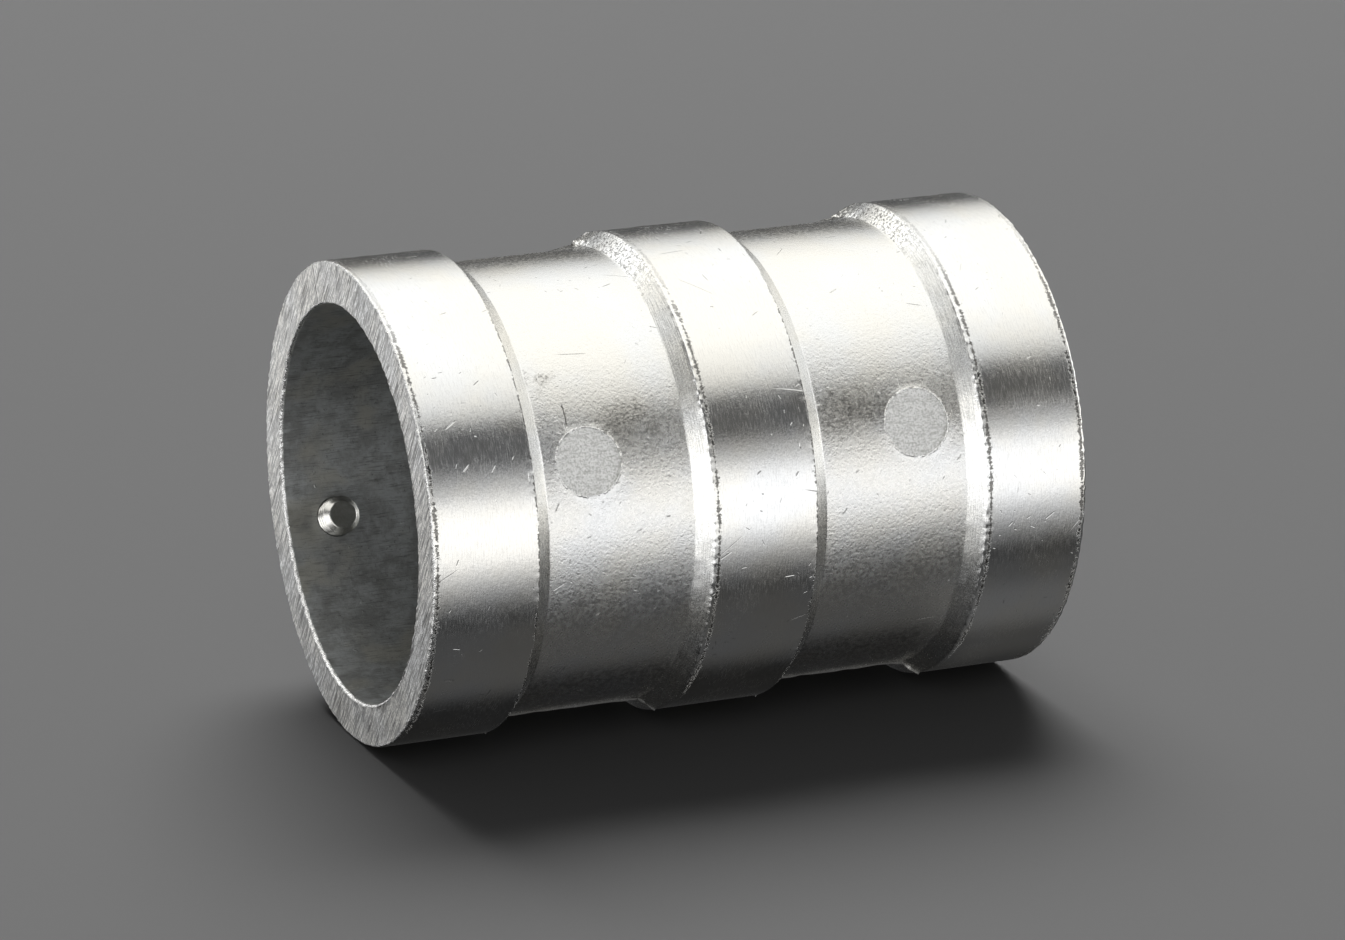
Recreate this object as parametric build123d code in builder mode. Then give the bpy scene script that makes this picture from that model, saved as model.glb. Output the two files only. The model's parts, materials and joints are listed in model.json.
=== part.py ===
from build123d import *
from math import cos, radians, sin
import os

# Rigid sleeve coupling for joining two round tubes end to end.
# X runs along the sleeve, +Z is up, and the origin is the middle of the bore.
# The sleeve lies on its side, rolled so that its ejector side looks up and out of -Y.

# Sleeve, in millimetres
sleeve_length = 86.0
band_radius = 30.0
groove_radius = 28.1
bore_radius = 24.6
mouth_radius = 24.75        # bore radius at each end face, from the casting draft
mouth_length = 16.0         # how far the draft reaches in from each face
band_length = 13.5          # the two end bands and the middle band alike
shoulder_length = 2.0       # sloped step between a band and a groove
shoulder_root_fillet = 0.5
band_edge_round = 0.3

# Marks of the die, in millimetres and degrees
roll = 21.5                 # ejector side, turned up from -Y about the sleeve's axis
flash_width = 0.6
flash_height = 0.25
flash_root = 0.4            # how deep the flash line starts inside the groove wall
ejector_radius = 4.1
ejector_station = 21.6      # each way from the middle of the sleeve
ejector_flat_drop = 0.28    # from the groove's crown down to the flat left by the pin

# Set screws, M5 x 8 with a flat point
thread_radius = 2.5
hole_clearance = 0.05       # the tapped hole is a plain bore this much larger
countersink_radius = 3.0
screw_length = 8.0
screw_recess = 0.1          # outer end of the screw below the band's crown
point_radius = 1.65
outer_chamfer = 0.45
socket_across_flats = 2.5
socket_depth = 3.0

half_length = sleeve_length / 2
groove_length = (sleeve_length - 3 * band_length - 4 * shoulder_length) / 2
groove_center = band_length / 2 + shoulder_length + groove_length / 2
screw_station = half_length - band_length / 2
wall = band_radius - bore_radius
screw_side = roll + 180
parting_sides = [roll + 90, roll - 90]


def radial_plane(station, turn, radius):
    """Plane facing out of the sleeve, at a station along X and a turn up from -Y."""
    outward = Vector(0, -cos(radians(turn)), sin(radians(turn)))
    return Plane(origin=Vector(station, 0, 0) + outward * radius, x_dir=(1, 0, 0), z_dir=outward)


def groove_corners(side):
    """Outline corners of one groove, from the middle band out to the end band."""
    inner_crest = side * band_length / 2
    inner_foot = inner_crest + side * shoulder_length
    outer_foot = inner_foot + side * groove_length
    outer_crest = outer_foot + side * shoulder_length
    return [
        (inner_crest, band_radius),
        (inner_foot, groove_radius),
        (outer_foot, groove_radius),
        (outer_crest, band_radius),
    ]


# The sleeve: one casting with three bands, two grooves, and a bore right through
with BuildPart() as sleeve:
    with BuildSketch(Plane.XY) as wall_section:
        with BuildLine():
            Polyline(
                (-half_length, mouth_radius),
                (-half_length, band_radius),
                *reversed(groove_corners(-1)),
                *groove_corners(1),
                (half_length, band_radius),
                (half_length, mouth_radius),
                (half_length - mouth_length, bore_radius),
                (-half_length + mouth_length, bore_radius),
                close=True,
            )
        make_face()
        heights = wall_section.vertices().group_by(Axis.Y)
        fillet(heights[-1], band_edge_round)
        fillet(heights[-2], shoulder_root_fillet)
    revolve(axis=Axis.X)

    # Flash left in the grooves where the two halves of the die met
    for side in (-1, 1):
        for turn in parting_sides:
            with BuildSketch(radial_plane(side * groove_center, turn, groove_radius - flash_root)):
                Rectangle(groove_length, flash_width)
            extrude(amount=flash_root + flash_height)

    # Flats left by the ejector pins, one in each groove
    for side in (-1, 1):
        with BuildSketch(radial_plane(side * ejector_station, roll, groove_radius - ejector_flat_drop)):
            Circle(ejector_radius)
        extrude(amount=band_radius - groove_radius, mode=Mode.SUBTRACT)

    # Tapped hole through the wall in the middle of each end band
    for side in (-1, 1):
        with Locations(radial_plane(side * screw_station, screw_side, band_radius)):
            CounterSinkHole(
                radius=thread_radius + hole_clearance,
                counter_sink_radius=countersink_radius,
                depth=wall + 1,
                counter_sink_angle=90,
            )

sleeve.part.label = "sleeve"


def make_set_screw(side, name):
    """Flat-point socket set screw, standing in its hole with its point inside the bore."""
    crown = radial_plane(side * screw_station, screw_side, band_radius - screw_recess)
    with BuildPart() as screw:
        with BuildSketch(crown):
            Circle(thread_radius)
        extrude(amount=-screw_length)
        ends = screw.edges().filter_by(GeomType.CIRCLE).sort_by(Axis(crown.origin, crown.z_dir))
        point_chamfer = thread_radius - point_radius
        chamfer(ends[0], point_chamfer)
        chamfer(ends[-1], outer_chamfer)
        with BuildSketch(crown):
            RegularPolygon(socket_across_flats / 2, 6, major_radius=False)
        extrude(amount=-socket_depth, mode=Mode.SUBTRACT)
    screw.part.label = name
    return screw


front_set_screw = make_set_screw(-1, "front_set_screw")
rear_set_screw = make_set_screw(1, "rear_set_screw")

os.makedirs("parts", exist_ok=True)
export_step(sleeve.part, "parts/sleeve.step")
export_step(front_set_screw.part, "parts/front_set_screw.step")
export_step(rear_set_screw.part, "parts/rear_set_screw.step")
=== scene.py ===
"""Looks of the rigid sleeve coupling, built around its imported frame."""

import itertools
import json
import math

import bpy
import numpy as np
from mathutils import Matrix, Vector


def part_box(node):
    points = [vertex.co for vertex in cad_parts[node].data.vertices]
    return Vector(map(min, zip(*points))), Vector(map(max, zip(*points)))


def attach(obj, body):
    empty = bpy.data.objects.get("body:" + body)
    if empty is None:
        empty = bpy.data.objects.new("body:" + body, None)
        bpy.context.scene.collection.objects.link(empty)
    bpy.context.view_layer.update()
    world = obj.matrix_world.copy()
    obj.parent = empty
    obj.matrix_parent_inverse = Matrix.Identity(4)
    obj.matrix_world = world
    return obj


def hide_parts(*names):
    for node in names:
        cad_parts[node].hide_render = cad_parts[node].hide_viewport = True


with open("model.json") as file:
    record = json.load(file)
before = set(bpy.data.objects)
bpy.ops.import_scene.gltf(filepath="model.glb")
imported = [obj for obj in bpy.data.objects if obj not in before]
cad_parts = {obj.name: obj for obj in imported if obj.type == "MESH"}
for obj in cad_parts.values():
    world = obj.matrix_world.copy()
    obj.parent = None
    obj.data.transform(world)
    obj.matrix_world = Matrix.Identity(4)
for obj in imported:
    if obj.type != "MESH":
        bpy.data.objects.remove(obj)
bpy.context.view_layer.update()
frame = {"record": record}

MM = 0.001

# ---------------------------------------------------------------- sizes, in millimetres

record = frame["record"]
bore_mount = next(m for m in record["mounts"] if m["name"] == "tube_bore")
sleeve_low, sleeve_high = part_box("sleeve")

HALF_LENGTH = sleeve_high.x / MM
BAND_RADIUS = 30.0
GROOVE_RADIUS = 28.1
BORE_RADIUS = bore_mount["dims"]["r_mm"]
BORE_HALF_STRAIGHT = bore_mount["dims"]["length_mm"] / 2
MOUTH_RADIUS = 24.75
BAND_LENGTH = 13.5
SHOULDER_LENGTH = 2.0
MIDDLE_CREST = BAND_LENGTH / 2
MIDDLE_FOOT = MIDDLE_CREST + SHOULDER_LENGTH
END_CREST = HALF_LENGTH - BAND_LENGTH
END_FOOT = END_CREST - SHOULDER_LENGTH
MOUTH_ROUNDING = 0.45
EDGE_ROUNDING = 0.4
CREST_ROUNDING = 0.2
FOOT_ROUNDING = 0.5

# Heights and depths of the marks of casting and turning
UPPER_FLASH = 0.1
LOWER_FLASH = 0.36
SEAM_DEPTH = 0.05
FRONT_BURR = 0.085
REAR_BURR = 0.05
END_BURR = 0.1
MOUTH_BURR = 0.12
LUMP_HEIGHT = 0.6
LUMP_REACH = 3.6
RIM_HEIGHT = 0.07

# Turns about the sleeve's axis, in degrees up from -Y
ROLL = 21.5
SCREW_SIDE = ROLL + 180
UPPER_PARTING = ROLL + 90
LOWER_PARTING = ROLL - 90
WORN_SIDE = ROLL - 15

EJECTOR_RADIUS = 4.1
EJECTOR_DROP = 0.28
EJECTOR_STATION = 21.6

SCREW_STATION = HALF_LENGTH - BAND_LENGTH / 2
SCREW_LENGTH = 8.0
SCREW_RECESS = 0.1
THREAD_CREST = 2.45
THREAD_ROOT = 2.02
THREAD_PITCH = 0.8
HOLE_RADIUS = 2.55
COUNTERSINK_RADIUS = 3.0
POINT_RADIUS = 1.74
POINT_SLOPE = 1.3
OUTER_CHAMFER = 0.45
SOCKET_FLATS = 2.5
SOCKET_DEPTH = 3.0


# ---------------------------------------------------------------- geometry helpers


def outward(turn):
    """Unit vector out of the sleeve, turned up from -Y."""
    angle = math.radians(turn)
    return Vector((0, -math.cos(angle), math.sin(angle)))


def placed(origin, x, z):
    """Matrix with its origin in metres and its X and Z along x and z."""
    turned = Matrix((x, z.cross(x), z)).transposed().to_4x4()
    return Matrix.Translation(Vector(origin)) @ turned


def radial_frame(station, turn):
    """Matrix whose Z runs out of the sleeve from its axis and whose X is the sleeve's."""
    return placed((station * MM, 0, 0), Vector((1, 0, 0)), outward(turn))


def soft_noise(points, size, seed=0.0):
    """Smooth random numbers from -1 to 1 at points, in lumps about size across."""
    cell = points / size + seed
    base = np.floor(cell)
    part = cell - base
    part = part * part * (3 - 2 * part)
    total = np.zeros(points.shape[:-1])
    for corner in itertools.product((0, 1), repeat=3):
        wave = np.sin((base + corner) @ np.array((12.9898, 78.233, 37.719))) * 43758.5453
        weight = np.prod(np.where(corner, part, 1 - part), axis=-1)
        total += weight * (2 * (wave - np.floor(wave)) - 1)
    return total


def bump_at(distance, width):
    """A smooth hump of height 1 where distance is 0."""
    return np.exp(-((distance / width) ** 2))


def turn_distance(turns, center):
    """Signed angle in degrees from center, in -180 to 180."""
    return (turns - center + 180) % 360 - 180


def mesh_object(name, points, faces, materials, slots=None, uvs=None):
    """A mesh object from points in metres, with one material slot number for each face."""
    mesh = bpy.data.meshes.new(name)
    mesh.from_pydata(points, [], faces)
    for material in materials:
        mesh.materials.append(material)
    if slots is not None:
        mesh.polygons.foreach_set("material_index", slots)
    if uvs is not None:
        layer = mesh.uv_layers.new(name="unrolled")
        layer.data.foreach_set("uv", np.asarray(uvs, np.float32).ravel())
    mesh.validate()
    obj = bpy.data.objects.new(name, mesh)
    bpy.context.scene.collection.objects.link(obj)
    return obj


def lathe(name, rings, place, materials):
    """Closed skin through rings of points in millimetres, capped at both ends."""
    rings = np.asarray(rings, float)
    count, around = rings.shape[:2]
    points = [place @ Vector(p * MM) for p in rings.reshape(-1, 3)]
    faces = []
    for ring in range(count - 1):
        for k in range(around):
            n = (k + 1) % around
            low, high = ring * around, (ring + 1) * around
            faces.append((low + k, low + n, high + n, high + k))
    faces.append(tuple(reversed(range(around))))
    faces.append(tuple(range((count - 1) * around, count * around)))
    return mesh_object(name, points, faces, materials)


def cut(obj, cutter):
    """Takes cutter's solid out of obj and removes the cutter."""
    modifier = obj.modifiers.new("cut", "BOOLEAN")
    modifier.operation = "DIFFERENCE"
    modifier.solver = "EXACT"
    modifier.object = cutter
    graph = bpy.context.evaluated_depsgraph_get()
    mesh = bpy.data.meshes.new_from_object(obj.evaluated_get(graph))
    obj.modifiers.clear()
    obj.data = mesh
    bpy.data.objects.remove(cutter)


def shade(obj, angle):
    """Smooth shading, with edges sharper than angle degrees left crisp."""
    obj.data.polygons.foreach_set("use_smooth", [True] * len(obj.data.polygons))
    obj.data.set_sharp_from_angle(angle=math.radians(angle))


# ---------------------------------------------------------------- materials


def grey(value):
    return (value, value, value, 1)


class Nodes:
    """A node tree, built with short calls whose values are numbers or sockets."""

    def __init__(self, owner):
        owner.use_nodes = True
        self.tree = owner.node_tree
        self.tree.nodes.clear()

    def add(self, kind, settings=None, **inputs):
        """A new node with its settings and its named inputs."""
        node = self.tree.nodes.new(kind)
        for name, value in (settings or {}).items():
            setattr(node, name, value)
        for name, value in inputs.items():
            self.feed(node.inputs[name.replace("_", " ")], value)
        return node

    def feed(self, socket, value):
        """Gives an input socket its value."""
        if isinstance(value, bpy.types.NodeSocket):
            self.tree.links.new(value, socket)
        else:
            socket.default_value = value

    def operate(self, kind, operation, *values):
        """A new node that does an operation on values."""
        node = self.add(kind, {"operation": operation})
        for socket, value in zip(node.inputs, values):
            self.feed(socket, value)
        return node

    def math(self, operation, *values):
        return self.operate("ShaderNodeMath", operation, *values).outputs[0]

    def axis(self, vector, name):
        """One coordinate of a vector."""
        return self.add("ShaderNodeSeparateXYZ", Vector=vector).outputs[name]

    def ramp(self, value, stops, interpolation):
        """Grey between stops of (value, brightness)."""
        node = self.add("ShaderNodeValToRGB", Fac=value)
        ramp = node.color_ramp
        ramp.interpolation = interpolation
        for element, (position, brightness) in zip(list(ramp.elements), (stops[0], stops[-1])):
            element.position = position
            element.color = grey(brightness)
        for position, brightness in stops[1:-1]:
            ramp.elements.new(position).color = grey(brightness)
        return node.outputs["Color"]


class Metal(Nodes):
    """One metal's node tree. Places, sizes and heights are in millimetres."""

    def __init__(self, name):
        self.material = bpy.data.materials.new(name)
        super().__init__(self.material)
        metres = self.add("ShaderNodeTexCoord").outputs["Object"]
        self.place = self.scaled(metres, 1 / MM)

    def math_vector(self, operation, *values):
        return self.operate("ShaderNodeVectorMath", operation, *values).outputs["Vector"]

    def scaled(self, vector, scale):
        node = self.operate("ShaderNodeVectorMath", "SCALE", vector)
        self.feed(node.inputs["Scale"], scale)
        return node.outputs["Vector"]

    def measure(self, operation, *values):
        """A vector operation whose result is a number."""
        return self.operate("ShaderNodeVectorMath", operation, *values).outputs["Value"]

    def total(self, *values):
        result = values[0]
        for value in values[1:]:
            result = self.math("ADD", result, value)
        return result

    def weighted(self, *parts):
        """Sum of values, each with its weight."""
        return self.total(*(self.math("MULTIPLY", value, weight) for value, weight in parts))

    def noise(self, place, size, detail=2.0, rough=0.5):
        """Cloudy noise from 0 to 1 with lumps about size across."""
        node = self.add("ShaderNodeTexNoise", Vector=place, Scale=1 / size, Detail=detail, Roughness=rough)
        return node.outputs[0]

    def between(self, value, low, high, out_low=0.0, out_high=1.0):
        """Smooth step of value from low..high to out_low..out_high."""
        node = self.add("ShaderNodeMapRange", {"interpolation_type": "SMOOTHSTEP"})
        names = ("Value", "From Min", "From Max", "To Min", "To Max")
        for name, number in zip(names, (value, low, high, out_low, out_high)):
            self.feed(node.inputs[name], number)
        return node.outputs["Result"]

    def mix(self, factor, first, second):
        """Colour from first to second as factor goes from 0 to 1."""
        node = self.add("ShaderNodeMix", {"data_type": "RGBA"}, Factor=factor)
        # The node has these sockets once for each kind of data, and the colour ones come here
        self.feed(node.inputs[6], first)
        self.feed(node.inputs[7], second)
        return node.outputs[2]

    def unrolled(self):
        """Position on the sleeve's skin in millimetres, around it and along it."""
        return self.add("ShaderNodeUVMap", {"uv_map": "unrolled"}).outputs["UV"]

    def stretched(self, place, scales, turn=0.0):
        """A place scaled on each axis, then turned about Z by turn degrees."""
        rotation = (0, 0, math.radians(turn))
        node = self.add("ShaderNodeMapping", Vector=place, Scale=scales, Rotation=rotation)
        return node.outputs["Vector"]

    def nicks(self, place, cell, length, width, share, seed, slant=0.0, spread=180.0):
        """Short scratches, one in some of the cells, 1 at their middle and 0 off them."""
        shifted = self.math_vector("ADD", self.scaled(place, 1 / cell), (seed, 2.7 * seed, 0))
        cells = self.add("ShaderNodeTexVoronoi", {"voronoi_dimensions": "2D"}, Vector=shifted, Scale=1.0)
        away = self.math_vector("SUBTRACT", shifted, cells.outputs["Position"])
        away = self.add("ShaderNodeSeparateXYZ", Vector=self.scaled(away, cell))
        dice = self.add("ShaderNodeSeparateColor", Color=cells.outputs["Color"])
        least = math.radians(slant - spread / 2)
        turn = self.math("MULTIPLY_ADD", dice.outputs[0], math.radians(spread), least)
        sine, cosine = self.math("SINE", turn), self.math("COSINE", turn)
        x, y = away.outputs["X"], away.outputs["Y"]
        along = self.math("ADD", self.math("MULTIPLY", x, cosine), self.math("MULTIPLY", y, sine))
        across = self.math("SUBTRACT", self.math("MULTIPLY", y, cosine), self.math("MULTIPLY", x, sine))
        reach = self.math("MULTIPLY_ADD", dice.outputs[2], 0.7 * length, 0.3 * length)
        run = self.math("DIVIDE", self.math("ABSOLUTE", along), reach)
        side = self.math("DIVIDE", self.math("ABSOLUTE", across), width)
        inside = self.math("MULTIPLY", self.between(run, 1.0, 0.4), self.between(side, 1.0, 0.0))
        return self.math("MULTIPLY", inside, self.math("LESS_THAN", dice.outputs[1], share))

    def finish(self, color, roughness, height):
        """The material with these values, and with the height as its bumps."""
        bump = self.add("ShaderNodeBump", Strength=1.0, Distance=MM, Height=height)
        metal = self.add("ShaderNodeBsdfPrincipled", Base_Color=color, Roughness=roughness, Metallic=1.0)
        self.feed(metal.inputs["Normal"], bump.outputs["Normal"])
        self.add("ShaderNodeOutputMaterial", Surface=metal.outputs["BSDF"])
        return self.material


WARM = (0.88, 0.865, 0.82, 1)
COOL = (0.85, 0.858, 0.862, 1)
# Bright metal, also painted on rims, crests, edges and seams as highlights
POLISH_AND_GLINT = (0.95, 0.95, 0.94, 1)
DULL = (0.50, 0.50, 0.48, 1)
# Dark marks, also painted beside burrs and seams as shadows
DARK_MARK_AND_SHADE = (0.16, 0.155, 0.145, 1)
STAIN = (0.30, 0.255, 0.17, 1)
WARM_LIGHT = (1, 0.995, 0.965, 1)
WHITE = (1, 1, 1, 1)

# Smeared, speckled stains in the grooves: station along the sleeve, turn and reach of each
STAINS = ((-15.5, 31, 3.6), (13, 27, 4.5), (-26, 44, 1.6))
CRACK_STATION = -23.6
CRACK_TURN = 33.5


def tinted(s):
    """Bright aluminium with faint warm and cool patches."""
    patches = s.noise(s.place, 9.0, 3.0)
    return s.mix(s.between(patches, 0.35, 0.7), WARM, COOL)


def crest_line(s, stations, width, reach):
    """Serrated line round the sleeve at each station, 1 on the line."""
    x = s.axis(s.place, "X")
    nearest = None
    for station in stations:
        away = s.math("ABSOLUTE", s.math("SUBTRACT", x, station))
        nearest = away if nearest is None else s.math("MINIMUM", nearest, away)
    teeth = s.noise(s.stretched(s.unrolled(), (2.4, 1.3, 1)), 1.0, 4.0, 0.75)
    wander = s.between(teeth, 0.3, 0.7, -reach, reach)
    gaps = s.between(s.noise(s.place, 3.0, 3.0, 0.6), 0.35, 0.55, 0.18, 0.0)
    return s.between(s.total(nearest, wander, gaps), width, width * 0.3)


def crest_wear(s):
    """1 on the two sides where the crests are burred, and little near the parting lines."""
    side = s.math("ABSOLUTE", s.measure("DOT_PRODUCT", s.place, outward(WORN_SIDE) / BAND_RADIUS))
    return s.between(side, 0.45, 0.75, 0.15, 1.0)


def ejector_rim(s):
    """Broken line round each ejector flat, 1 on the line."""
    x = s.math("ABSOLUTE", s.axis(s.place, "X"))
    y, z = s.axis(s.place, "Y"), s.axis(s.place, "Z")
    mirrored = s.add("ShaderNodeCombineXYZ", X=x, Y=y, Z=z).outputs["Vector"]
    center = Vector((EJECTOR_STATION, 0, 0)) + outward(ROLL) * GROOVE_RADIUS
    from_center = s.measure("DISTANCE", mirrored, center)
    away = s.math("ABSOLUTE", s.math("SUBTRACT", from_center, EJECTOR_RADIUS + 0.12))
    broken = s.between(s.noise(s.place, 1.3, 3.0, 0.7), 0.42, 0.58)
    return s.math("MULTIPLY", s.between(away, 0.16, 0.05), broken)


def near_parting(s, turn, reach):
    """1 at a parting line, fading raggedly to 0 at reach millimetres round from it."""
    around = s.axis(s.unrolled(), "X")
    away = s.math("ABSOLUTE", s.math("SUBTRACT", around, math.radians(turn) * BAND_RADIUS))
    wander = s.math("MULTIPLY_ADD", s.noise(s.place, 2.0, 3.0, 0.6), reach, -reach / 2)
    return s.between(s.math("ADD", away, wander), reach, reach * 0.2)


def face_seam(s, turn, offset):
    """The fine straight seam where a parting line crosses an end face."""
    across = s.measure("DOT_PRODUCT", s.place, outward(turn).cross(Vector((1, 0, 0))))
    wander = s.math("MULTIPLY_ADD", s.noise(s.place, 1.2, 3.0), 0.3, -0.15 - offset)
    away = s.math("ABSOLUTE", s.math("ADD", across, wander))
    ahead = s.math("GREATER_THAN", s.measure("DOT_PRODUCT", s.place, outward(turn)), 0.0)
    return s.math("MULTIPLY", s.between(away, 0.13, 0.04), ahead)


def smeared(s, reach):
    """Dark smears round the upper parting line, 1 where they are thickest."""
    marks = s.noise(s.stretched(s.unrolled(), (1.1, 0.3, 1)), 1.0, 5.0, 0.7)
    return s.math("MULTIPLY", s.between(marks, 0.45, 0.62), near_parting(s, UPPER_PARTING, reach))


def pits(s):
    """Small gas holes, 1 inside them."""
    return s.between(s.noise(s.place, 0.36, 4.0, 0.75), 0.46, 0.41)


def crack(s):
    """A fine open line round from the front ejector flat, 1 on the line."""
    middle = math.radians(CRACK_TURN) * BAND_RADIUS
    around = s.math("ABSOLUTE", s.math("SUBTRACT", s.axis(s.unrolled(), "X"), middle))
    wander = s.math("MULTIPLY_ADD", s.noise(s.place, 0.8, 3.0), 0.6, -0.3 - CRACK_STATION)
    across = s.math("ABSOLUTE", s.math("ADD", s.axis(s.place, "X"), wander))
    return s.math("MULTIPLY", s.between(around, 1.7, 1.2), s.between(across, 0.13, 0.04))


def turned_metal():
    """Bands, turned round the sleeve and then knocked about."""
    s = Metal("turned_aluminium")
    skin = s.unrolled()
    lines = s.noise(s.stretched(skin, (0.06, 6.0, 1)), 1.0, 3.0)
    streaks = s.noise(s.stretched(skin, (0.8, 6.5, 1)), 1.0, 3.0, 0.6)
    grain = s.noise(s.place, 0.32, 3.0, 0.6)
    crowd = s.noise(s.place, 9.0, 3.0)
    share = s.between(crowd, 0.45, 0.62, 0.08, 0.7)
    large = s.nicks(skin, cell=5.0, length=1.0, width=0.11, share=share, seed=3.1, slant=45, spread=120)
    share = s.between(crowd, 0.45, 0.62, 0.03, 0.5)
    small = s.nicks(skin, cell=2.2, length=0.45, width=0.08, share=share, seed=7.7, slant=45, spread=160)
    hair = s.nicks(skin, cell=13.0, length=4.0, width=0.07, share=0.5, seed=21.4, slant=80, spread=120)
    # Lines just behind the front crests and the ends, and on the rear crests: shallow dents, painted dark
    # as the shadow beside the burrs
    behind = 0.55
    fronts = [edge + behind for edge in (-MIDDLE_CREST, END_CREST, -HALF_LENGTH)]
    burr = crest_line(s, (*fronts, HALF_LENGTH - behind), 0.24, 0.24)
    edge = crest_line(s, (MIDDLE_CREST, -END_CREST), 0.12, 0.2)
    burr_dent_and_shadow = s.math("MULTIPLY", s.math("MAXIMUM", burr, edge), crest_wear(s))
    smears = smeared(s, 11.0)
    height = s.weighted(
        (lines, 0.006),
        (streaks, 0.025),
        (grain, 0.01),
        (large, -0.035),
        (small, -0.02),
        (hair, -0.02),
        (burr_dent_and_shadow, -0.12),
        (smears, -0.03),
    )
    scored = s.math("MAXIMUM", s.math("MAXIMUM", large, hair), s.math("MULTIPLY", small, 0.6))
    color = s.mix(s.math("MULTIPLY", scored, 0.45), tinted(s), DULL)
    color = s.mix(s.math("MULTIPLY", smears, 0.7), color, DARK_MARK_AND_SHADE)
    color = s.mix(s.between(streaks, 0.52, 0.66, 0.0, 0.1), color, DULL)
    # The burr lines painted dark as shadow
    color = s.mix(s.math("MULTIPLY", burr_dent_and_shadow, 0.9), color, DARK_MARK_AND_SHADE)
    specks = s.between(s.noise(s.place, 0.5, 3.0, 0.7), 0.66, 0.74)
    color = s.mix(s.math("MULTIPLY", specks, 0.5), color, DULL)
    patches = s.noise(s.place, 5.0, 4.0)
    smooth = s.between(patches, 0.3, 0.75, 0.12, 0.18)
    rough = s.between(streaks, 0.42, 0.66, 0.0, 0.12)
    return s.finish(color, s.math("ADD", smooth, rough), height)


def cast_metal():
    """Grooves as they came from the die: rough on the ejector side, smoother where they are stained."""
    s = Metal("cast_aluminium_skin")
    skin = s.unrolled()
    toward = s.measure("DOT_PRODUCT", s.place, outward(ROLL) / GROOVE_RADIUS)
    toward = s.math("MULTIPLY_ADD", s.noise(s.place, 5.0, 4.0, 0.6), 0.4, toward)
    rough_side = s.between(toward, 0.6, 1.15)
    grain = s.noise(s.place, 0.4, 4.0, 0.7)
    creases = s.math("ABSOLUTE", s.math("SUBTRACT", s.noise(s.place, 0.7, 3.0, 0.65), 0.5))
    waves = s.noise(s.place, 3.0, 2.0)
    crowd = s.noise(s.place, 9.0, 3.0)
    share = s.between(crowd, 0.42, 0.62, 0.1, 0.6)
    large = s.nicks(skin, cell=6.0, length=1.0, width=0.11, share=share, seed=12.3, slant=55, spread=130)
    share = s.between(crowd, 0.42, 0.62, 0.05, 0.5)
    small = s.nicks(skin, cell=2.2, length=0.45, width=0.08, share=share, seed=1.9, slant=45, spread=180)
    hair = s.nicks(skin, cell=11.0, length=3.5, width=0.07, share=0.4, seed=18.3, slant=80, spread=90)
    porous = s.math("MULTIPLY", near_parting(s, UPPER_PARTING, 5.0), pits(s))
    rim = ejector_rim(s)
    gap = crack(s)
    stain = None
    flattened = Vector((0.5, 1, 1))
    for station, turn, reach in STAINS:
        center = (Vector((station, 0, 0)) + outward(turn) * GROOVE_RADIUS) * flattened
        wander = s.math("MULTIPLY_ADD", s.noise(s.place, 3.0, 5.0, 0.75), 9.0, -4.5)
        from_center = s.measure("DISTANCE", s.math_vector("MULTIPLY", s.place, flattened), center)
        here = s.between(s.math("ADD", from_center, wander), reach, 0.0)
        stain = here if stain is None else s.math("MAXIMUM", stain, here)
    height = s.weighted(
        (grain, s.between(rough_side, 0.0, 1.0, 0.017, 0.045)),
        (creases, s.between(rough_side, 0.0, 1.0, -0.012, -0.08)),
        (waves, 0.015),
        (large, -0.04),
        (small, -0.025),
        (hair, -0.03),
        (porous, -0.12),
        (rim, 0.12),
        (gap, -0.1),
    )
    dots = s.between(s.noise(s.place, 0.4, 4.0, 0.8), 0.5, 0.58)
    dashes = s.between(s.noise(s.stretched(skin, (4.0, 0.9, 1)), 1.0, 4.0, 0.7), 0.54, 0.62)
    specks = s.math("MAXIMUM", dots, dashes)
    color = s.mix(s.math("MULTIPLY", stain, 0.14), tinted(s), STAIN)
    color = s.mix(s.math("MULTIPLY", s.math("MULTIPLY", specks, stain), 0.8), color, DARK_MARK_AND_SHADE)
    color = s.mix(s.math("MULTIPLY", gap, 0.9), color, DARK_MARK_AND_SHADE)
    smears = smeared(s, 9.0)
    color = s.mix(s.math("MULTIPLY", smears, 0.7), color, DARK_MARK_AND_SHADE)
    scored = s.math("MAXIMUM", s.math("MAXIMUM", large, hair), s.math("MULTIPLY", small, 0.6))
    color = s.mix(s.math("MULTIPLY", scored, 0.45), color, DULL)
    color = s.mix(s.math("MULTIPLY", porous, 0.8), color, DARK_MARK_AND_SHADE)
    mottle = s.noise(s.place, 0.5, 3.0, 0.65)
    color = s.mix(s.math("MULTIPLY", s.between(mottle, 0.5, 0.62, 0.0, 0.14), rough_side), color, DULL)
    # The raised rim round each ejector flat painted bright as a highlight
    color = s.mix(rim, color, POLISH_AND_GLINT)
    even = s.between(rough_side, 0.0, 1.0, 0.18, 0.22)
    soft = s.math("ADD", even, s.between(mottle, 0.38, 0.62, 0.1, 0.0))
    soft = s.math("MULTIPLY_ADD", rim, -0.1, soft)
    roughness = s.math("MULTIPLY_ADD", stain, -0.02, soft)
    return s.finish(color, roughness, height)


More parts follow.
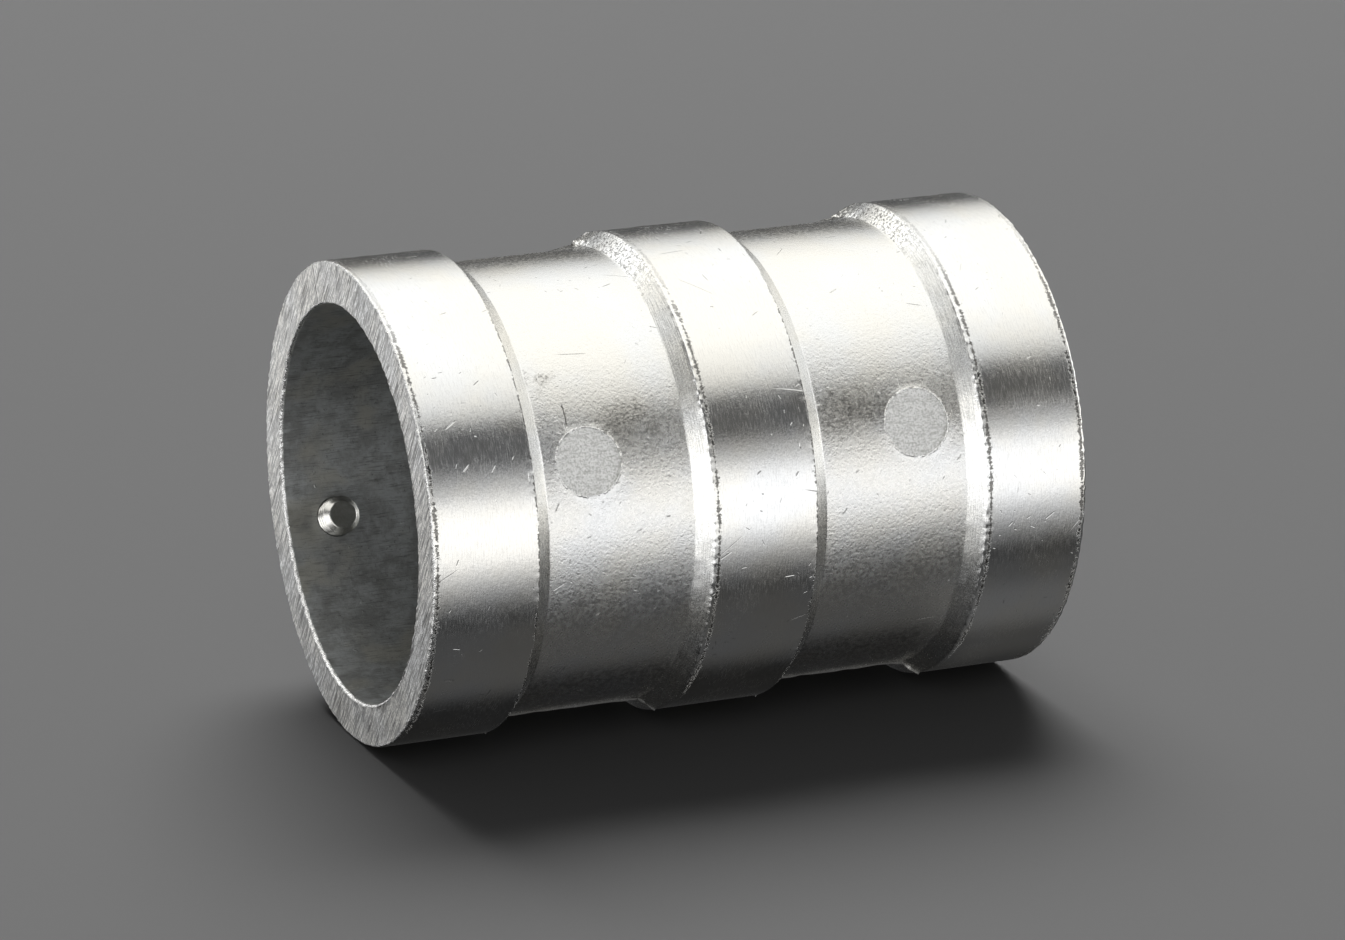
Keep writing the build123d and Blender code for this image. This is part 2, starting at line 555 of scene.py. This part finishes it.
def shoulder_metal():
    """Scraped round the sleeve, and porous near the upper parting line."""
    s = Metal("scraped_aluminium")
    strokes = s.noise(s.stretched(s.unrolled(), (0.3, 8.0, 1)), 1.0, 3.0, 0.6)
    grain = s.noise(s.place, 0.35, 4.0, 0.7)
    porous = s.math("MULTIPLY", near_parting(s, UPPER_PARTING, 26.0), pits(s))
    height = s.weighted(
        (strokes, 0.03),
        (grain, 0.025),
        (porous, -0.22),
    )
    # A line along the burred front crests painted bright as a highlight, and smoother there
    bright = crest_line(s, (-MIDDLE_CREST, END_CREST), 0.3, 0.3)
    bright = s.math("MULTIPLY", bright, crest_wear(s))
    color = s.mix(s.between(strokes, 0.32, 0.6, 0.5, 0.0), tinted(s), DULL)
    color = s.mix(s.math("MULTIPLY", porous, 0.65), color, DARK_MARK_AND_SHADE)
    color = s.mix(bright, color, POLISH_AND_GLINT)
    rough = s.between(grain, 0.3, 0.7, 0.2, 0.3)
    return s.finish(color, s.math("MULTIPLY_ADD", bright, -0.12, rough), height)


def face_metal():
    """End faces, linished with long slanted strokes, with dented, smoother edges painted bright as a
    highlight.
    """
    s = Metal("linished_aluminium")
    flat = s.add("ShaderNodeCombineXYZ", X=s.axis(s.place, "Y"), Y=s.axis(s.place, "Z")).outputs["Vector"]
    turned = s.stretched(flat, (1, 1, 1), -34)
    strokes = s.noise(s.stretched(turned, (4.2, 0.25, 1)), 1.0, 4.0, 0.7)
    deep = s.between(s.noise(s.stretched(turned, (2.6, 0.14, 1)), 1.0, 3.0), 0.57, 0.68)
    grain = s.noise(s.place, 0.45, 5.0, 0.8)
    wall = BAND_RADIUS - MOUTH_RADIUS
    middle = (MOUTH_RADIUS + BAND_RADIUS) / 2
    from_middle = s.math("ABSOLUTE", s.math("SUBTRACT", s.measure("LENGTH", flat), middle))
    ragged = s.math("MULTIPLY_ADD", s.noise(s.place, 0.6, 4.0, 0.75), 0.9, from_middle)
    edges = s.between(ragged, wall / 2 + 0.12, wall / 2 + 0.3)
    dents = s.math("MULTIPLY", s.noise(s.place, 0.35, 2.0), edges)
    height = s.weighted(
        (strokes, 0.08),
        (deep, -0.06),
        (grain, 0.07),
        (dents, 0.12),
    )
    color = s.mix(s.between(strokes, 0.42, 0.57), (0.3, 0.3, 0.3, 1), tinted(s))
    color = s.mix(s.between(grain, 0.5, 0.58, 0.0, 0.75), color, (0.34, 0.34, 0.335, 1))
    color = s.mix(s.math("MULTIPLY", deep, 0.7), color, DARK_MARK_AND_SHADE)
    # At each seam a dark line to one side is painted as the shadow of its step, and the seam itself painted
    # bright as a highlight
    for turn in (UPPER_PARTING, LOWER_PARTING):
        color = s.mix(s.math("MULTIPLY", face_seam(s, turn, 0.2), 0.9), color, DARK_MARK_AND_SHADE)
        color = s.mix(face_seam(s, turn, 0.0), color, POLISH_AND_GLINT)
    # The edges painted bright as a highlight
    color = s.mix(edges, color, POLISH_AND_GLINT)
    rough = s.between(strokes, 0.3, 0.7, 0.32, 0.44)
    return s.finish(color, s.math("MULTIPLY_ADD", edges, -0.2, rough), height)


def bore_metal():
    """Drawn along its length by the core pin, and less bright than the outside."""
    s = Metal("bore_aluminium")
    skin = s.unrolled()
    blotches = s.noise(s.place, 3.0, 6.0, 0.75)
    draws = s.noise(s.stretched(skin, (4.5, 0.35, 1)), 1.0, 4.0, 0.65)
    grain = s.noise(s.place, 0.5, 4.0, 0.75)
    specks = s.nicks(skin, cell=3.6, length=0.4, width=0.18, share=0.25, seed=5.5)
    height = s.weighted(
        (draws, 0.02),
        (grain, 0.03),
        (specks, 0.04),
    )
    color = s.mix(s.between(blotches, 0.38, 0.6), (0.40, 0.405, 0.40, 1), (0.53, 0.55, 0.555, 1))
    warmth = s.between(s.noise(s.place, 6.0, 3.0), 0.5, 0.66, 0.0, 0.45)
    color = s.mix(warmth, color, (0.50, 0.47, 0.38, 1))
    color = s.mix(s.between(draws, 0.5, 0.66, 0.0, 0.4), color, DARK_MARK_AND_SHADE)
    color = s.mix(s.between(grain, 0.6, 0.68, 0.0, 0.5), color, DARK_MARK_AND_SHADE)
    return s.finish(color, s.between(blotches, 0.3, 0.7, 0.42, 0.5), height)


def ejector_metal():
    """Matte flats left by the ejector pins."""
    s = Metal("ejector_flat_aluminium")
    skin = s.unrolled()
    grain = s.noise(s.place, 0.24, 4.0, 0.7)
    strokes = s.noise(s.stretched(s.place, (0.7, 5.0, 5.0)), 1.0, 3.0, 0.6)
    scuffs = s.nicks(skin, cell=2.2, length=0.6, width=0.09, share=0.4, seed=4.2)
    height = s.weighted(
        (grain, 0.08),
        (strokes, 0.03),
        (scuffs, -0.03),
    )
    color = s.mix(s.between(grain, 0.44, 0.6), POLISH_AND_GLINT, (0.6, 0.6, 0.58, 1))
    color = s.mix(s.between(strokes, 0.52, 0.64, 0.0, 0.55), color, DULL)
    color = s.mix(s.math("MULTIPLY", scuffs, 0.5), color, DARK_MARK_AND_SHADE)
    return s.finish(color, s.between(grain, 0.3, 0.7, 0.34, 0.44), height)


def screw_metal():
    """Plain bright steel."""
    s = Metal("screw_steel")
    grains = s.noise(s.place, 0.4, 4.0)
    color = s.mix(s.between(grains, 0.3, 0.7), (0.66, 0.65, 0.61, 1), (0.76, 0.75, 0.72, 1))
    return s.finish(color, s.between(grains, 0.3, 0.7, 0.16, 0.26), s.math("MULTIPLY", grains, 0.004))


# ---------------------------------------------------------------- the sleeve

FACE, BAND, SHOULDER, GROOVE, BORE, FLAT = range(6)


def sleeve_outline():
    """Corners (x, radius, rounding), and for each run to the next corner its zone and ring spacing."""
    return [
        (-HALF_LENGTH, MOUTH_RADIUS, MOUTH_ROUNDING, FACE, 0.45),
        (-HALF_LENGTH, BAND_RADIUS, EDGE_ROUNDING, BAND, 0.5),
        (-END_CREST, BAND_RADIUS, CREST_ROUNDING, SHOULDER, 0.2),
        (-END_FOOT, GROOVE_RADIUS, FOOT_ROUNDING, GROOVE, 0.5),
        (-MIDDLE_FOOT, GROOVE_RADIUS, FOOT_ROUNDING, SHOULDER, 0.2),
        (-MIDDLE_CREST, BAND_RADIUS, CREST_ROUNDING, BAND, 0.5),
        (MIDDLE_CREST, BAND_RADIUS, CREST_ROUNDING, SHOULDER, 0.2),
        (MIDDLE_FOOT, GROOVE_RADIUS, FOOT_ROUNDING, GROOVE, 0.5),
        (END_FOOT, GROOVE_RADIUS, FOOT_ROUNDING, SHOULDER, 0.2),
        (END_CREST, BAND_RADIUS, CREST_ROUNDING, BAND, 0.5),
        (HALF_LENGTH, BAND_RADIUS, EDGE_ROUNDING, FACE, 0.45),
        (HALF_LENGTH, MOUTH_RADIUS, MOUTH_ROUNDING, BORE, 2.0),
        (BORE_HALF_STRAIGHT, BORE_RADIUS, 0, BORE, 4.0),
        (-BORE_HALF_STRAIGHT, BORE_RADIUS, 0, BORE, 2.0),
    ]


def sample_outline(corners):
    """Ring positions along the closed outline, with normals, and the zone of the strip after each."""
    at = np.array([c[:2] for c in corners])
    count = len(corners)
    rings = []
    for k in range(count):
        before, here, after = at[k - 1], at[k], at[(k + 1) % count]
        into = (here - before) / np.linalg.norm(here - before)
        out = (after - here) / np.linalg.norm(after - here)
        rounding, zone, step = corners[k][2:]
        zone_before = corners[k - 1][3]
        normal_in = np.array((-into[1], into[0]))
        normal_out = np.array((-out[1], out[0]))
        turn = math.acos(np.clip(into @ out, -1, 1))
        tangent = rounding * math.tan(turn / 2)
        if rounding > 0:
            hollow = into[0] * out[1] - into[1] * out[0] > 0
            middle = here - into * tangent + (normal_in if hollow else -normal_in) * rounding
            arc_steps = 6
            # The rounded mouth belongs to the face, and other roundings are shared half and half
            at_mouth = BORE in (zone_before, zone)
            for a in range(arc_steps):
                done = a / arc_steps
                normal = normal_in * math.sin((1 - done) * turn) + normal_out * math.sin(done * turn)
                normal /= np.linalg.norm(normal)
                point = middle + (-normal if hollow else normal) * rounding
                arc_zone = zone if done > 0.5 else zone_before
                rings.append((*point, *normal, FACE if at_mouth else arc_zone))
        onward = at[(k + 2) % count] - after
        onward = onward / np.linalg.norm(onward)
        next_turn = math.acos(np.clip(out @ onward, -1, 1))
        next_tangent = corners[(k + 1) % count][2] * math.tan(next_turn / 2)
        length = np.linalg.norm(after - here) - tangent - next_tangent
        pieces = max(1, round(length / step))
        for piece in range(pieces):
            point = here + out * (tangent + length * piece / pieces)
            rings.append((*point, *normal_out, zone))
    return np.array(rings)


def turn_steps():
    """Angles around the sleeve in degrees, closer together at the two parting lines."""
    coarse, fine, reach = 0.45, 0.2, 12
    turns = [LOWER_PARTING + coarse * k for k in range(round(360 / coarse))]
    for parting in (LOWER_PARTING, UPPER_PARTING):
        turns = [t for t in turns if abs(turn_distance(t, parting)) > fine * (reach + 0.5)]
        turns += [parting + fine * k for k in range(-reach, reach + 1)]
    return np.array(sorted((t - LOWER_PARTING) % 360 + LOWER_PARTING for t in turns))


def skin_height(x, radius, turns, zones, points):
    """How far the real skin stands out of the plain outline, in millimetres."""
    height = np.zeros_like(x)
    groove = zones == GROOVE
    band = zones == BAND
    shoulder = zones == SHOULDER
    face = zones == FACE
    waves = 0.02 * soft_noise(points, 7.0, 3.0) + 0.004 * soft_noise(points, 2.0, 8.0)
    height += np.where(groove, waves, 0)
    height += np.where(band, 0.008 * soft_noise(points, 7.0, 1.0), 0)
    height += np.where(shoulder, 0.02 * soft_noise(points, 1.4, 5.0), 0)
    height += np.where(face, 0.01 * soft_noise(points, 2.0, 6.0), 0)
    height += np.where(zones == BORE, 0.015 * soft_noise(points, 8.0, 2.0), 0)
    upper = np.radians(turn_distance(turns, UPPER_PARTING)) * radius
    lower = np.radians(turn_distance(turns, LOWER_PARTING)) * radius
    flash = UPPER_FLASH * bump_at(upper, 0.3) + LOWER_FLASH * bump_at(lower, 0.17)
    ragged = 0.75 + 0.35 * soft_noise(points, 1.5, 4.0)
    height += np.where(groove | shoulder, ragged * flash, 0)
    height += np.where(face, -SEAM_DEPTH * (bump_at(upper, 0.12) + bump_at(lower, 0.12)), 0)
    swollen = bump_at(upper, 1.6) * (0.06 + 0.12 * soft_noise(points, 0.8, 9.0))
    height += np.where(groove | band | shoulder, swollen, 0)
    # Serrated burrs, higher on the crests that face the front
    teeth = np.maximum(0, soft_noise(points, 0.45, 2.2) + 0.4)
    teeth += 0.4 * np.maximum(0, soft_noise(points, 1.6, 7.1))
    toward = np.abs(np.cos(np.radians(turns - WORN_SIDE)))
    wear = 0.25 + 0.75 * np.clip((toward - 0.45) / 0.3, 0, 1)
    crests = (
        (-MIDDLE_CREST, FRONT_BURR), (END_CREST, FRONT_BURR),
        (-END_CREST, REAR_BURR), (MIDDLE_CREST, REAR_BURR),
    )
    near_top = radius > BAND_RADIUS - 0.6
    for crest, burr in crests:
        height += burr * wear * teeth * bump_at(x - crest, CREST_ROUNDING) * near_top
    at_edge = radius > BAND_RADIUS - 0.5
    at_mouth = radius < MOUTH_RADIUS + 0.35
    for end in (-HALF_LENGTH, HALF_LENGTH):
        height += END_BURR * teeth * bump_at(x - end, 0.25) * at_edge
        height += MOUTH_BURR * teeth * bump_at(x - end, 0.3) * at_mouth
    # Lumps of metal where the die leaked at the front shoulders
    for foot in (-MIDDLE_FOOT, END_FOOT):
        ahead = foot - x
        slope = np.clip(1 - ahead / LUMP_REACH, 0, 1) * (ahead > -SHOULDER_LENGTH - 0.2)
        across = bump_at(upper, 3.5) + 0.35 * bump_at(lower, 1.5)
        rough = 1 + 0.5 * soft_noise(points, 0.9, 6.3) + 0.3 * soft_noise(points, 0.45, 1.3)
        rise = np.where(radius < BAND_RADIUS - 0.1, BAND_RADIUS - radius, 0)
        height += slope * across * rough * np.minimum(0.4 * rise, LUMP_HEIGHT)
    # Raised rims round the ejector flats
    for side in (-1, 1):
        away = np.hypot(x - side * EJECTOR_STATION, np.radians(turn_distance(turns, ROLL)) * radius)
        rim = RIM_HEIGHT * (1 + 0.8 * soft_noise(points, 1.1, 4.4))
        height += np.where(groove, rim * bump_at(away - EJECTOR_RADIUS - 0.1, 0.3), 0)
    return height


def make_sleeve(materials):
    """The cast sleeve, its uneven skin cut by the screw holes and the ejector flats."""
    outline = sample_outline(sleeve_outline())
    turns = turn_steps()
    around, along = len(turns), len(outline)
    x, radius, normal_x, normal_r, zone = (np.tile(column, (around, 1)) for column in outline.T)
    angle = np.radians(np.tile(turns[:, None], (1, along)))
    degrees = np.degrees(angle)

    def to_points(x, radius):
        return np.stack((x, -radius * np.cos(angle), radius * np.sin(angle)), axis=-1)

    height = skin_height(x, radius, degrees, zone, to_points(x, radius))
    points = to_points(x + normal_x * height, radius + normal_r * height) * MM

    # Each face joins neighbouring columns and rows, and both wrap round
    column = np.arange(around)[:, None]
    row = np.arange(along)[None, :]
    next_row = (row + 1) % along
    here, beyond = column * along, (column + 1) % around * along
    faces = np.stack((here + row, beyond + row, beyond + next_row, here + next_row), axis=-1).reshape(-1, 4)

    # Each face's corners on the unrolled skin: round the sleeve, and along its outline
    arc_start = angle[:, 0] * BAND_RADIUS
    arc_end = np.append(arc_start[1:], arc_start[0] + 2 * math.pi * BAND_RADIUS)
    travel = np.linalg.norm(np.diff(outline[:, :2], axis=0, append=outline[:1, :2]), axis=1)
    run_start = np.cumsum(travel) - travel
    run_end = run_start + travel
    low_u, low_v = np.broadcast_arrays(arc_start[:, None], run_start[None, :])
    high_u, high_v = np.broadcast_arrays(arc_end[:, None], run_end[None, :])
    uvs = np.stack((low_u, low_v, high_u, low_v, high_u, high_v, low_u, high_v), axis=-1).reshape(-1, 2)

    slots = np.tile(outline[:, 4], (around, 1)).astype(int)
    flat_points = points.reshape(-1, 3).tolist()
    obj = mesh_object("cast_sleeve", flat_points, faces.tolist(), materials, slots.ravel().tolist(), uvs)
    for side in (-1, 1):
        cut(obj, hole_cutter(side))
        cut(obj, flat_cutter(side))
    shade(obj, 38)
    return obj


def circle_ring(radius, height):
    around = 96
    angle = np.arange(around) * 2 * math.pi / around
    z = np.full(around, float(height))
    return np.stack((radius * np.cos(angle), radius * np.sin(angle), z), axis=-1)


def with_slot(obj, slot):
    """Gives every face of a cutter one material slot number."""
    obj.data.polygons.foreach_set("material_index", [slot] * len(obj.data.polygons))
    return obj


def hole_cutter(side):
    """The set screw's hole with its countersink."""
    drop = COUNTERSINK_RADIUS - HOLE_RADIUS
    rings = [
        circle_ring(HOLE_RADIUS, BORE_RADIUS - 1.5),
        circle_ring(HOLE_RADIUS, BAND_RADIUS - drop),
        circle_ring(COUNTERSINK_RADIUS + 1, BAND_RADIUS + 1),
    ]
    cutter = lathe("hole_cutter", rings, radial_frame(side * SCREW_STATION, SCREW_SIDE), [])
    return with_slot(cutter, BORE)


def flat_cutter(side):
    """The flat pressed into the groove by an ejector pin."""
    rings = [
        circle_ring(EJECTOR_RADIUS, GROOVE_RADIUS - EJECTOR_DROP),
        circle_ring(EJECTOR_RADIUS, BAND_RADIUS + 1),
    ]
    cutter = lathe("flat_cutter", rings, radial_frame(side * EJECTOR_STATION, ROLL), [])
    return with_slot(cutter, FLAT)


# ---------------------------------------------------------------- the set screws


def thread_radius(turn, height, low, high):
    """Radius of the threaded flank at a turn in radians and a height in millimetres."""
    phase = (height / THREAD_PITCH - turn / (2 * math.pi)) % 1
    flank = np.clip(np.abs(phase - 0.5) * 2.6 - 0.2, 0, 1)
    radius = THREAD_CREST - (THREAD_CREST - THREAD_ROOT) * flank
    point_cone = POINT_RADIUS + POINT_SLOPE * (height - low)
    outer_cone = THREAD_CREST - OUTER_CHAMFER + (high - height)
    return np.minimum(radius, np.minimum(point_cone, outer_cone))


def make_screw(side, name, material):
    """Flat-point socket screw with a real thread, a chamfered point and a hexagon socket."""
    around = 72
    high = BAND_RADIUS - SCREW_RECESS
    low = high - SCREW_LENGTH
    turn = np.arange(around) * 2 * math.pi / around
    directions = np.stack((np.cos(turn), np.sin(turn)), axis=-1)

    def ring(radius, height):
        flat = directions * np.broadcast_to(radius, around)[:, None]
        return np.column_stack((flat, np.full(around, float(height))))

    # Distance of the socket's walls from the screw's axis at each turn
    hexagon = (SOCKET_FLATS / 2) / np.cos((turn + math.pi / 6) % (math.pi / 3) - math.pi / 6)
    # The flat point, hollowed a little in the middle
    rings = [ring(0.5, low + 0.05), ring(1.1, low + 0.03), ring(POINT_RADIUS - 0.12, low)]
    thread_rings = 150
    for height in np.linspace(low + 0.02, high - 0.02, thread_rings):
        rings.append(ring(thread_radius(turn, height, low, high), height))
    # The top and its socket
    rings += [
        ring(THREAD_CREST - OUTER_CHAMFER - 0.08, high),
        ring(hexagon + 0.12, high),
        ring(hexagon + 0.02, high - 0.1),
        ring(hexagon, high - 0.3),
        ring(hexagon, high - SOCKET_DEPTH),
        ring(0.6, high - SOCKET_DEPTH - 0.35),
    ]
    obj = lathe(name, rings, radial_frame(side * SCREW_STATION, SCREW_SIDE), [material])
    shade(obj, 32)
    return obj


# ---------------------------------------------------------------- stage, lights and camera


def facing(position, target, across):
    """Places a plane at position with its -Z towards target and its X along across."""
    z = (Vector(position) - Vector(target)).normalized()
    x = (Vector(across) - z * Vector(across).dot(z)).normalized()
    return placed(position, x, z)


def softbox(name, width, height, place, strength, stops, side_fade=0.2, color=WHITE, on_floor=False):
    """A glowing plane with brightnesses at stops from 0 to 1 up its height.

    The metal mirrors it, or with on_floor it lights the floor instead.
    """
    material = bpy.data.materials.new(name)
    nodes = Nodes(material)
    spot = nodes.add("ShaderNodeTexCoord").outputs["Generated"]
    sides = [(0, 0), (side_fade, 1), (1 - side_fade, 1), (1, 0)]
    up = nodes.ramp(nodes.axis(spot, "Y"), stops, "EASE")
    sideways = nodes.ramp(nodes.axis(spot, "X"), sides, "EASE")
    power = nodes.math("MULTIPLY", nodes.math("MULTIPLY", up, sideways), strength)
    if not on_floor:
        # Light that the metal throws on the floor is left out
        depth = nodes.add("ShaderNodeLightPath").outputs["Diffuse Depth"]
        power = nodes.math("MULTIPLY", power, nodes.math("LESS_THAN", depth, 0.5))
    glow = nodes.add("ShaderNodeEmission", Color=color, Strength=power)
    both = nodes.add("ShaderNodeAddShader")
    nodes.feed(both.inputs[0], glow.outputs["Emission"])
    nodes.feed(both.inputs[1], nodes.add("ShaderNodeBsdfTransparent").outputs["BSDF"])
    nodes.add("ShaderNodeOutputMaterial", Surface=both.outputs["Shader"])

    x, y = width / 2, height / 2
    points = [(-x, -y, 0), (x, -y, 0), (x, y, 0), (-x, y, 0)]
    obj = mesh_object(name, points, [(0, 1, 2, 3)], [material])
    obj.matrix_world = place
    obj.visible_camera = False
    obj.visible_diffuse = on_floor
    obj.visible_glossy = not on_floor
    obj.visible_shadow = False


def make_floor():
    """A round matt floor under the sleeve."""
    radius = 6.0
    around = 96
    low = sleeve_low.z
    angles = [2 * math.pi * k / around for k in range(around)]
    points = [(radius * math.cos(angle), radius * math.sin(angle), low) for angle in angles]
    material = bpy.data.materials.new("studio_floor")
    nodes = Nodes(material)
    paint = nodes.add("ShaderNodeBsdfPrincipled", Base_Color=grey(0.2), Roughness=0.6, Specular_IOR_Level=0)
    nodes.add("ShaderNodeOutputMaterial", Surface=paint.outputs["BSDF"])
    floor = mesh_object("studio_floor", points, [tuple(range(around))], [material])
    floor.visible_glossy = False
    floor.visible_shadow = False


def make_world():
    """Dim surroundings, darker below the horizon."""
    world = bpy.data.worlds.new("studio")
    bpy.context.scene.world = world
    nodes = Nodes(world)
    up = nodes.axis(nodes.add("ShaderNodeTexCoord").outputs["Generated"], "Z")
    stops = [(0, 0.012), (0.2, 0.015), (0.35, 0.04), (0.5, 0.08), (0.6, 0.09), (1, 0.1)]
    color = nodes.ramp(nodes.math("MULTIPLY_ADD", up, 0.5, 0.5), stops, "LINEAR")
    background = nodes.add("ShaderNodeBackground", Color=color, Strength=1.0)
    nodes.add("ShaderNodeOutputWorld", Surface=background.outputs["Background"])


def stops_along(marks):
    """Stops from 0 to 1 for marks at lengths in metres, with the whole length and its middle."""
    low, high = marks[0][0], marks[-1][0]
    stops = [((at - low) / (high - low), value) for at, value in marks]
    return stops, high - low, (low + high) / 2


def make_lights():
    """Softboxes shaped by what mirrors them, with lists of where they are and how bright."""
    # Mirrored by the top of the sleeve, in degrees up from -Y
    ceiling = 0.6
    overhead = [
        (45, 0), (51, 0.45), (58, 0.72), (66, 0.85), (76, 0.97), (90, 1), (122, 1),
        (132, 0.97), (140, 0.85), (147, 0.7), (154, 0.45), (162, 0.12), (166, 0),
    ]
    marks = [(-ceiling / math.tan(math.radians(angle)), value) for angle, value in overhead]
    stops, depth, middle = stops_along(marks)
    place = Matrix.Translation((0.45, middle, ceiling))
    softbox(
        "overhead_softbox", 2.6, depth, place, strength=1.14, stops=stops, side_fade=0.1, color=WARM_LIGHT,
    )

    # Mirrored by the side that faces the camera, in degrees up from -Y
    away = 0.62
    front = [
        (-48, 0), (-42, 0.03), (-36, 0.11), (-30, 0.24), (-22, 0.52), (-14, 0.95),
        (-6, 1), (3, 1), (10, 0.82), (18, 0.36), (25, 0.17), (29, 0),
    ]
    marks = [(away * math.tan(math.radians(angle)), value) for angle, value in front]
    stops, tall, middle = stops_along(marks)
    place = facing((0.25, -away, middle), (0.25, 0, middle), (1, 0, 0))
    softbox("front_strip", 2.4, tall, place, strength=1.2, stops=stops)

    # Mirrored by the shoulders that face the front, in metres up
    left = [
        (-0.66, 0), (-0.56, 0.2), (-0.46, 0.4), (-0.34, 0.72), (-0.22, 1),
        (0.17, 1), (0.26, 0.8), (0.35, 0.24), (0.45, 0.03), (0.56, 0),
    ]
    stops, tall, middle = stops_along(left)
    place = facing((-0.75, -0.3, middle), (0, 0, middle), (0.35, -0.94, 0))
    softbox("left_strip", 0.7, tall, place, strength=1.7, stops=stops, side_fade=0.25)

    # Mirrored by the shoulders that face the rear, and by the tops of those that face the front
    flat = [(0, 0), (0.3, 1), (0.7, 1), (1, 0)]
    place = facing((0.88, 0.02, 0.12), (0, 0, 0.02), (0, 1, 0))
    softbox("right_strip", 1.5, 0.5, place, strength=1.8, stops=flat, side_fade=0.2)
    place = facing((-0.32, 0.76, 0.45), (0, 0, 0), (0.6, 0.63, -0.5))
    softbox("left_back_softbox", 0.95, 0.5, place, strength=1.08, stops=flat, side_fade=0.36)

    # Mirrored by the front end face
    place = facing((-0.129, 0.117, -0.006), (-0.07, -0.024, 0.041), (0.9, 0.4, 0))
    softbox("face_fill_near", 0.18, 0.13, place, strength=1.2, stops=flat, side_fade=0.3)
    place = facing((-0.23, 0.44, -0.147), (-0.043, 0, 0), (0.9, 0.4, 0))
    softbox("face_fill_far", 0.6, 0.5, place, strength=0.2, stops=flat, side_fade=0.3)

    # Mirrored by the underside
    place = facing((0.2, -0.15, -0.4), (0.2, -0.15, 0), (1, 0, 0))
    stops = [(0, 0), (0.25, 1), (1, 0.8)]
    softbox("low_front_glow", 1.6, 0.44, place, strength=0.055, stops=stops, side_fade=0.2)
    place = Matrix.Translation((0.058, -0.024, sleeve_low.z - 0.0005))
    softbox("floor_bounce", 0.06, 0.036, place, strength=0.035, stops=flat, side_fade=0.15)

    # For the floor
    place = facing((0.6, 1.78, 2.46), (0, 0, 0), (1, 0, 0))
    softbox("key_softbox", 3.0, 3.0, place, strength=8.3, stops=flat, side_fade=0.3, on_floor=True)
    place = facing((-0.25, -0.9, 0.75), (0, -0.15, 0), (1, 0, 0))
    softbox("floor_fill", 0.9, 0.9, place, strength=0.55, stops=flat, side_fade=0.3, on_floor=True)


def make_camera():
    """A long lens at the photograph's angle."""
    azimuth, elevation = math.radians(-22.83), math.radians(17.08)
    distance = 0.7641
    back = Vector((
        math.sin(azimuth) * math.cos(elevation),
        -math.cos(azimuth) * math.cos(elevation),
        math.sin(elevation),
    ))
    data = bpy.data.cameras.new("camera")
    data.lens = 163.5
    data.sensor_width = 36
    data.clip_start = 0.01
    camera = bpy.data.objects.new("camera", data)
    aim = Vector((0.15, -0.28, -0.64)) * MM
    camera.location = aim + back * distance
    camera.rotation_euler = back.to_track_quat("Z", "Y").to_euler()
    bpy.context.scene.collection.objects.link(camera)
    bpy.context.scene.camera = camera


# ---------------------------------------------------------------- build

# In the order of the zones
sleeve = make_sleeve([
    face_metal(), turned_metal(), shoulder_metal(), cast_metal(), bore_metal(), ejector_metal(),
])
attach(sleeve, "sleeve_body")
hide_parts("sleeve")

steel = screw_metal()
for side, end in ((-1, "front"), (1, "rear")):
    screw = make_screw(side, f"{end}_socket_screw", steel)
    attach(screw, f"{end}_screw")
    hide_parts(f"{end}_set_screw")

make_floor()
make_world()
make_lights()
make_camera()
bpy.context.scene.view_settings.view_transform = "Standard"
